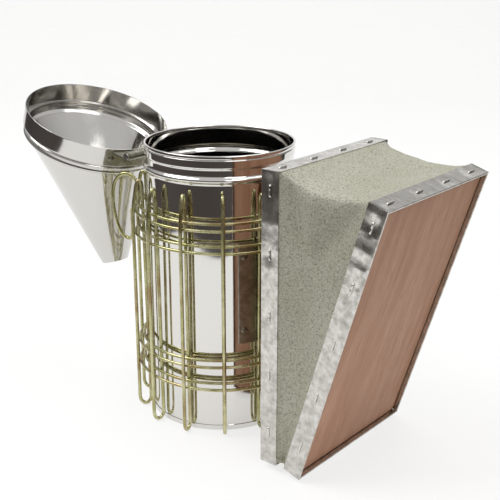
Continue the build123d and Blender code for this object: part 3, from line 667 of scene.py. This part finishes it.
# an open ring that rises and falls a little, as wire bent by hand does
def ringRoute(radius, height, wobble):
    overhang = pitch / 6
    first, last = guard["gap"] / 2 - overhang, 360 - guard["gap"] / 2 + overhang
    count = 150
    route = []
    for k in range(count + 1):
        angle = first + (last - first) * k / count
        lift = wobble * math.sin(math.radians(angle * 2.3 + height * 7))
        route.append(polar(radius, angle, height + lift))
    return route


outerRadius = guard["outer"] - (guard["ribWire"] + guard["ringWire"]) / 2
outerRings = wires("guardOuterRings", [ringRoute(outerRadius, z, 0.35) for z in guard["outerRings"]],
                   guard["ringWire"] / 2, 16, "wire")
place(outerRings, "canister", "passivated_wire", "guard_outer_rings")
innerRings = wires("guardInnerRings", [ringRoute(guard["innerFoot"] + slope * z + 2.25, z, 0.3)
                                       for z in guard["innerRings"]], guard["ringWire"] / 2, 16, "wire")
place(innerRings, "canister", "passivated_wire", "guard_inner_rings")

# out, along and up from the rib beside the lid's hinge
hookCorners = [(56.4, 2.64, 142.2), (56.8, 2.64, 154.2), (60.0, 2.64, 158.8), (66.4, 2.64, 161.0),
               (72.4, 2.64, 156.7), (75.4, 2.64, 147.2), (74.4, 2.64, 130.6), (70.4, 2.64, 118.1),
               (64.9, 2.64, 113.8), (60.4, 6.1, 117.1), (55.7, 19.2, 140.5)]
hookAngle = math.radians(180 + pitch)
radial = np.array((math.cos(hookAngle), math.sin(hookAngle), 0))
along = np.array((-math.sin(hookAngle), math.cos(hookAngle), 0))
hookLine = [radial * a + along * b + np.array((0, 0, c)) for a, b, c in softened(hookCorners, 9, steps=8)]
hook = wires("guardHook", [hookLine], guard["ribWire"] / 2, 20, "wire")
place(hook, "canister", "passivated_wire", "guard_hook")
print("wire guard", len(ribs.data.polygons) + len(outerRings.data.polygons) + len(innerRings.data.polygons))

# rivets
rivets = {"strapRadius": 52.75, "strapAngles": (11.5, 29.0), "strapRise": 7.1, "leafRadius": 49.7,
          "leafHeight": 154.5, "leafShare": 0.38, "tabRadius": 49.8, "tabAngle": 31.0, "tabHeights": (71.3, 121.1)}
dome = [(0.001, 1.1), (1.0, 1.0), (1.8, 0.65), (2.25, 0.15), (2.3, 0.0), (1.3, -0.1), (0.001, -0.1)]
domeProfile = [tuple(p) for p in softened(dome, [0, 0.4, 0.5, 0.3, 0.05, 0, 0], steps=3)]
rivetHead = lathe("rivetHead", domeProfile, 28)
strapPlaces = [onRadius(rivets["strapRadius"], 180 + side * angle, lip + rivets["strapRise"])
               for angle in rivets["strapAngles"] for side in (-1, 1)]
leafPlaces = [onRadius(rivets["leafRadius"], 180 + side * pitch * rivets["leafShare"], rivets["leafHeight"])
              for side in (-1, 1)]
tabPlaces = [onRadius(rivets["tabRadius"], side * rivets["tabAngle"], z)
             for z in rivets["tabHeights"] for side in (-1, 1)]
strapRivets = copies("strapRivets", rivetHead, strapPlaces, "rivet", 0.04)
swingLid(strapRivets)
place(strapRivets, "lid", "bright_fasteners", "hinge_rivets_lid")
leafRivets = copies("leafRivets", rivetHead, leafPlaces, "rivet", 0.04)
place(leafRivets, "canister", "bright_fasteners", "hinge_rivets_canister")
tabRivets = copies("tabRivets", rivetHead, tabPlaces, "rivet", 0.04)
place(tabRivets, "canister", "bright_fasteners", "bracket_rivets")
bpy.data.objects.remove(rivetHead)
print("rivets")

# tin strips on the boards' edges
stapleSizes = {"wire": 0.62, "first": 21.0, "pitch": 38.0, "perSide": 5, "topPitch": 29.5, "topCount": 4}
halfWidth = bellows["width"] / 2
topLength = bellows["width"] - 4 * bellows["stripSheet"]


def innerPlace(x, y, z):
    return np.array((bellows["innerFace"] - x, y, bellows["floorGap"] + z))


def outerBoardPlace(x, y, z):
    angle = math.radians(bellows["openAngle"])
    dx, dz = x - bellows["hingeX"], z
    return np.array((bellows["hingeX"] + dx * math.cos(angle) + dz * math.sin(angle), y,
                     bellows["hingeZ"] - dx * math.sin(angle) + dz * math.cos(angle)))


def outerPlace(x, y, z):
    return outerBoardPlace(bellows["outerFace"] + x, y, z)


sidePlaces = [stapleSizes["first"] + k * stapleSizes["pitch"] for k in range(stapleSizes["perSide"])]
topPlaces = [(k - (stapleSizes["topCount"] - 1) / 2) * stapleSizes["topPitch"]
             for k in range(stapleSizes["topCount"])]


# a strip folded over a board's edge: hemmed on its free side, waved by hand and dented at each staple
def tinStrip(name, toWorld, length, dents, seed):
    sheet, width, hem = bellows["stripSheet"], bellows["stripWidth"], bellows["hem"]
    across = [k / 10 for k in range(11)]
    section = [(width * t, 0.0) for t in across[:-1]]
    foldCorners = [(width * 0.9, 0), (width, 0), (width, -2 * sheet), (width - hem, -2 * sheet)]
    fold = softened(foldCorners, [0, 0.45, 0.45, 0])
    section += [tuple(p) for p in fold[1:]]
    section += [(width - hem, -sheet), (width * 0.5, -sheet), (0, -sheet)]
    rows = int(length / 1.6)
    dice = random.Random(seed)
    waves = [(dice.uniform(0.03, 0.09), dice.uniform(14, 40), dice.uniform(0, 6.28), dice.uniform(-0.4, 0.4))
             for _ in range(5)]
    verts, faces = [], []
    for row in range(rows + 1):
        v = length * row / rows
        endFade = min(1, v / 4, (length - v) / 4)
        for a, b in section:
            press = sum(h * math.sin(2 * math.pi * (v + tilt * a) / period + phase)
                        for h, period, phase, tilt in waves)
            press = -abs(press) * endFade
            for spot in dents:
                away = ((a - width * 0.5) / 3.4) ** 2 + ((v - spot) / 5.2) ** 2
                press -= 0.4 * math.exp(-away)
            edgeFade = 1 if b > -0.01 else 0.8
            verts.append(toWorld(a, b + press * edgeFade * (0.35 if a > width - 1.5 else 1), v) * mm)
    count = len(section)
    for row in range(rows):
        for j in range(count):
            nextJ = (j + 1) % count
            faces.append((row * count + j, row * count + nextJ, (row + 1) * count + nextJ, (row + 1) * count + j))
    faces.append(tuple(range(count))[::-1])
    faces.append(tuple(rows * count + j for j in range(count)))
    obj = makeObject(name, verts, faces)
    tidy = bmesh.new()
    tidy.from_mesh(obj.data)
    bmesh.ops.recalc_face_normals(tidy, faces=tidy.faces)
    tidy.to_mesh(obj.data)
    tidy.free()
    smoothByAngle(obj, 40)
    dress(obj, "tin")
    return obj


def sideWay(toBoard, edge):
    return lambda a, b, v: toBoard(a, edge * (halfWidth + b), v)


def topWay(toBoard, height):
    return lambda a, b, v: toBoard(a, v - topLength / 2, height + b)


def footWay(toBoard):
    return lambda a, b, v: toBoard(a, v - topLength / 2, -b)


for board, toBoard, height, body in (("inner", innerPlace, bellows["innerHeight"], "canister"),
                                     ("outer", outerPlace, bellows["outerHeight"], "bellows_cover")):
    seed = 11 if board == "inner" else 29
    acrossPlaces = [p + topLength / 2 for p in topPlaces]
    strips = [("near", sideWay(toBoard, -1), height, sidePlaces), ("far", sideWay(toBoard, 1), height, sidePlaces),
              ("top", topWay(toBoard, height), topLength, acrossPlaces), ("foot", footWay(toBoard), topLength, ())]
    for k, (edge, way, length, dents) in enumerate(strips):
        strip = tinStrip(f"{board}Strip{edge.capitalize()}", way, length, dents, seed + k)
        place(strip, body, "tin_strip", f"{board}_strip_{edge}")
print("tin strips")

# staples
# a staple's crown from leg to leg, hammered down in its middle
crown = [(-3.0, 0, -0.9), (-3.0, 0, 0.25), (-1.4, 0, 0.3), (0, 0, 0.12), (1.4, 0, 0.3), (3.0, 0, 0.25),
         (3.0, 0, -0.9)]
stapleLine = [np.array(p) for p in softened(crown, [0, 0.5, 0.8, 0.8, 0.8, 0.5, 0], steps=4)]
stapleShape = wires("stapleShape", [stapleLine], stapleSizes["wire"], 12, "bright")


def staplePlaces(toBoard, height):
    middle = bellows["stripWidth"] / 2
    origin = toBoard(0, 0, 0)
    up = toBoard(0, 0, 1) - origin
    places = []
    for edge in (-1, 1):
        for z in sidePlaces:
            spot = toBoard(middle, edge * (halfWidth - 0.3), z)
            places.append(facing(*spot, (0, edge, 0), up))
    for y in topPlaces:
        spot = toBoard(middle, y, height - 0.3)
        places.append(facing(*spot, up, (0, 1, 0)))
    return places


for board, toBoard, height, body in (("inner", innerPlace, bellows["innerHeight"], "canister"),
                                     ("outer", outerPlace, bellows["outerHeight"], "bellows_cover")):
    staples = copies(f"{board}Staples", stapleShape, staplePlaces(toBoard, height), "bright", 0.05)
    place(staples, body, "bright_fasteners", f"{board}_board_staples")
bpy.data.objects.remove(stapleShape)
print("staples")

# bellows skin
halfSkin = halfWidth - bellows["stripSheet"]
innerTop = bellows["innerHeight"] + bellows["floorGap"] - bellows["hingeZ"] - bellows["stripSheet"]
outerTop = bellows["outerHeight"] - bellows["stripSheet"]
tuck = 8.5  # under each board's strip


# a point between the boards, where share runs from the inner board to the outer one
def fanPoint(share, x, y, up):
    angle = math.radians(bellows["openAngle"] * share)
    offset = bellows["footGap"] * (share - 0.5) + x
    return np.array((bellows["hingeX"] + offset * math.cos(angle) + up * math.sin(angle), y,
                     bellows["hingeZ"] - offset * math.sin(angle) + up * math.cos(angle)))


def bell(value, middle, width):
    return math.exp(-((value - middle) / width) ** 2)


# how far a side is pushed in: two valleys that meet lower down, with a ridge between them
def sidePress(share, depth, fold):
    slack = 4 * share * (1 - share)
    inward = bellows["drawIn"] * slack * (1 - 0.45 * bell(depth, 0, 22))
    leftLine = 0.04 + 0.34 * min(depth / 44, 1)
    rightLine = 0.97 - 0.42 * min(depth / 40, 1)
    fade = math.exp(-(depth / 40) ** 4)
    inward += fold["left"] * bell(share, leftLine, 0.11) * fade * min(1, share / 0.1)
    inward += fold["right"] * bell(share, rightLine, 0.17) * fade * min(1, (1 - share) / 0.08)
    inward -= fold["ridge"] * bell(share, 0.41, 0.10) * math.exp(-(depth / 38) ** 2)
    inward += 0.35 * slack * math.sin(share * 9 + depth * 0.05)
    return inward


def skinPoint(share, around, extra, fold):
    slack = 4 * share * (1 - share)
    top = innerTop + (outerTop - innerTop) * share - bellows["sag"] * slack * (0.85 + 0.15 * abs(around["across"]))
    round_ = 2.2 + 6.5 * slack
    y, up, depth = around["across"] * halfSkin, around["rise"] * top, 0
    side = -1 if around["across"] < 0 else 1
    if around["part"] == "side":
        depth = (1 - around["rise"]) * top
        y = side * (halfSkin - sidePress(share, depth, fold[side]))
        if depth < round_:
            lean = 1 - depth / round_
            y -= side * round_ * 0.32 * lean * lean
    else:
        inset = (1 - abs(around["across"])) * halfSkin
        pull = sidePress(share, 0, fold[side]) * max(0, 1 - inset / 30)
        y = side * max(0, abs(y) - pull - round_ * 0.32 * max(0, 1 - inset / 16))
        if inset < round_:
            lean = 1 - inset / round_
            up -= round_ * 0.32 * lean * lean
        up -= 0.6 * slack * math.sin(y * 0.11) + 0.9 * slack * bell(y, 12, 22)
    return fanPoint(share, extra, y, up)


def skinSheet():
    folds = {-1: {"left": 3.2, "right": 3.0, "ridge": 2.0}, 1: {"left": 2.6, "right": 3.4, "ridge": 1.6}}
    rounds = []
    for k in range(96):
        rounds.append({"part": "side", "across": -1.0, "rise": (k / 96) ** 0.8})
    for k in range(97):
        rounds.append({"part": "top", "across": -1 + 2 * k / 96, "rise": 1.0})
    for k in range(95, -1, -1):
        rounds.append({"part": "side", "across": 1.0, "rise": (k / 96) ** 0.8})
    columns = [(0, -tuck), (0, -tuck / 2)] + [(k / 44, 0) for k in range(45)] + [(1, tuck / 2), (1, tuck)]
    verts, shares, faces = [], [], []
    for around in rounds:
        for share, extra in columns:
            verts.append(skinPoint(share, around, extra, folds) * mm)
            shares.append(share)
    count = len(columns)
    for row in range(len(rounds) - 1):
        for j in range(count - 1):
            at = row * count + j
            faces.append((at, at + 1, at + count + 1, at + count))
    return verts, shares, faces


verts, shares, faces = skinSheet()
skin = makeObject("bellowsSkin", verts, faces)
dress(skin, "skin")
gusset = []
for k in range(13):
    for y in np.linspace(-halfSkin + 1.1, halfSkin - 1.1, 40):
        gusset.append(fanPoint(k / 12, 0, y, 2.2 + 1.5 * math.sin(math.pi * k / 12)) * mm)
strip = makeObject("hingeStrip", gusset, [(r * 40 + c, r * 40 + c + 1, (r + 1) * 40 + c + 1, (r + 1) * 40 + c)
                                         for r in range(12) for c in range(39)])
dress(strip, "skin")


def clothSize(obj):
    return sum(p.area for p in obj.data.polygons)


def bendWithBoards(obj):
    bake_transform(obj)


print("skin area", clothSize(skin), "strip area", clothSize(strip))
bendWithBoards(skin)
bendWithBoards(strip)
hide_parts("bellows_skin")
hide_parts("bellows_hinge_strip")

# CAD pieces that keep their own shape
keptNodes = {
    "canister_bottom": "mirror", "air_inlet_tube": "bright", "fire_grate": "zinc", "hinge_leaf_lid": "zinc",
    "hinge_leaf_canister": "zinc", "hinge_pin": "bright", "inner_board": "innerWood", "outer_board": "outerWood",
    "bellows_spring": "spring", "valve_flap": "leather", "valve_hem": "leather", "valve_tacks": "bright",
    "bellows_bracket": "zinc", "bracket_bolts": "bright", "bracket_nuts": "bright",
}
for node, finish in keptNodes.items():
    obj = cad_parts[node]
    dress(obj, finish)
print("materials set on CAD pieces")

# stage, light and camera


def stageFinish(name, colour, glow):
    material = bpy.data.materials.new(name)
    material.use_nodes = True
    tree = material.node_tree
    tree.nodes.remove(tree.nodes["Principled BSDF"])
    output = tree.nodes["Material Output"]
    ray = addNode(tree, "ShaderNodeLightPath", -700, 200)
    seen = maths(tree, "MAXIMUM", ray.outputs["Is Camera Ray"], ray.outputs["Is Glossy Ray"], x=-480, y=250)
    seenAll = maths(tree, "MAXIMUM", seen, ray.outputs["Is Transmission Ray"], x=-300, y=200)
    share = maths(tree, "MULTIPLY", seenAll, glow, x=-120, y=200)
    matt = addNode(tree, "ShaderNodeBsdfDiffuse", -300, 0, {"Color": srgb(colour)})
    shine = addNode(tree, "ShaderNodeEmission", -300, -150, {"Color": (1, 1, 1, 1), "Strength": 1.0})
    blended = addNode(tree, "ShaderNodeMixShader", 60, 50, {0: share, 1: matt.outputs[0], 2: shine.outputs[0]})
    tree.links.new(blended.outputs[0], output.inputs["Surface"])
    return material


def stageMesh(name, verts, faces, material):
    obj = makeObject(name, verts, faces, smooth=False)
    obj.data.materials.append(material)
    return obj


cameraPlace = Vector((0.40912, -0.45688, 0.31683))
heading = math.radians(39.99)
white = stageFinish("paleTableTop", "#F4F4F2", 0.72)
dark = newMaterial("darkRoomFloor", "#2B221D", 0.0, 0.8)[0]

forward = Vector((-math.sin(heading), math.cos(heading), 0))
sideways = Vector((math.cos(heading), math.sin(heading), 0))


def tablePoint(ahead, across, z=0.0):
    spot = forward * ahead + sideways * across
    return (spot.x, spot.y, z)


tableRim = []
for k in range(64):
    a = 2 * math.pi * k / 64
    flat = (abs(math.cos(a)) ** 3 + abs(math.sin(a)) ** 3) ** (-1 / 3)
    tableRim.append(tablePoint(0.43 * flat * math.cos(a) + 0.03, 0.5 * flat * math.sin(a) + 0.05))
stageMesh("tableTop", tableRim, [tuple(range(64))], white)
behind = [tablePoint(0.2, -0.55), tablePoint(0.2, 0.65), tablePoint(1.3, 1.3), tablePoint(1.3, -1.2)]
rising = [tablePoint(1.3 + 0.35 * math.sin(a), w, 0.35 * (1 - math.cos(a)))
          for a in (0.4, 0.8, 1.2, 1.5708) for w in (-1.2, 1.3)]
rising += [tablePoint(1.65, -1.2, 1.1), tablePoint(1.65, 1.3, 1.1)]
sweep = behind + rising
faces = [(0, 1, 2, 3), (3, 2, 5, 4), (4, 5, 7, 6), (6, 7, 9, 8), (8, 9, 11, 10), (10, 11, 13, 12)]
sweep = [(x, y, z - 0.0002) for x, y, z in sweep]
stageMesh("paleSweep", sweep, faces, white)
roomCorners = [(-4, -4, -0.002), (4, -4, -0.002), (4, 4, -0.002), (-4, 4, -0.002)]
stageMesh("roomFloor", roomCorners, [(0, 1, 2, 3)], dark)

world = bpy.data.worlds.new("studio")
bpy.context.scene.world = world
world.use_nodes = True
air = world.node_tree
sky = air.nodes["Background"]
direction = addNode(air, "ShaderNodeTexCoord", -900, 0)
parts = addNode(air, "ShaderNodeSeparateXYZ", -700, 0, {0: direction.outputs["Generated"]})
height = ranged(air, parts.outputs["Z"], 0.02, 0.6, 0.0, 1.0, x=-500, y=0)
tone = mixed(air, height, srgb("#4A413B"), srgb("#F2F2F2"), x=-250, y=0)
air.links.new(tone, sky.inputs["Color"])
sky.inputs["Strength"].default_value = 0.75


def softbox(name, spot, target, size, watts):
    data = bpy.data.lights.new(name, "AREA")
    data.shape = "RECTANGLE"
    data.size, data.size_y = size
    data.energy = watts
    obj = bpy.data.objects.new(name, data)
    bpy.context.scene.collection.objects.link(obj)
    obj.location = spot
    obj.rotation_euler = (Vector(target) - Vector(spot)).to_track_quat("-Z", "Y").to_euler()
    return obj


softbox("keyLight", (-0.75, -0.75, 1.5), (0, 0, 0.1), (1.0, 1.0), 17)
softbox("fillLight", (1.4, -0.6, 1.0), (0.05, 0, 0.1), (0.9, 0.9), 6)
softbox("topLight", (0.2, 0.5, 1.7), (0, 0, 0.1), (1.2, 0.9), 8)

lens = bpy.data.cameras.new("camera")
lens.lens = 68.58
lens.sensor_width = 36
lens.clip_start = 0.01
camera = bpy.data.objects.new("camera", lens)
bpy.context.scene.collection.objects.link(camera)
camera.location = cameraPlace
camera.rotation_euler = Euler((math.radians(90 - 18.65), 0, heading))
bpy.context.scene.camera = camera
bpy.context.scene.view_settings.view_transform = "Standard"
print("stage, light and camera")
